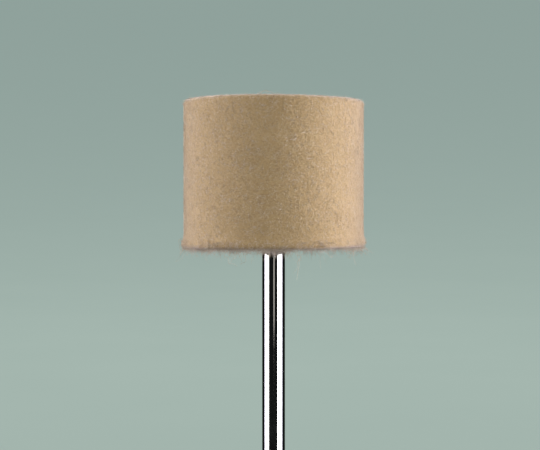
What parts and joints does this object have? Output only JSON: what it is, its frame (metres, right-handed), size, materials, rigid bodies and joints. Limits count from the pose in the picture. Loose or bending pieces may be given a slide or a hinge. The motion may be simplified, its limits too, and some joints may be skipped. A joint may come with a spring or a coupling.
{
  "type": "felt polishing wheel",
  "caption": "Cylindrical pressed-felt polishing head bonded on a straight steel mandrel, for a rotary tool's collet.",
  "frame": {"origin": "centre of the felt's underside, where the shank's plain wall ends and the mandrel enters the felt", "axes": "+Z runs along the mandrel from the shank's free end to the felt head's end face; X and Y are alike, because the part is round"},
  "size_m": [0.026, 0.0258, 0.0585],
  "materials": {
    "wool_felt": "matte",
    "polished_steel": "polished",
    "cured_epoxy": "satin"
  },
  "bodies": {
    "root": {"felt_head": "wool_felt", "mandrel": "polished_steel", "adhesive": "cured_epoxy"}
  },
  "joints": []
}
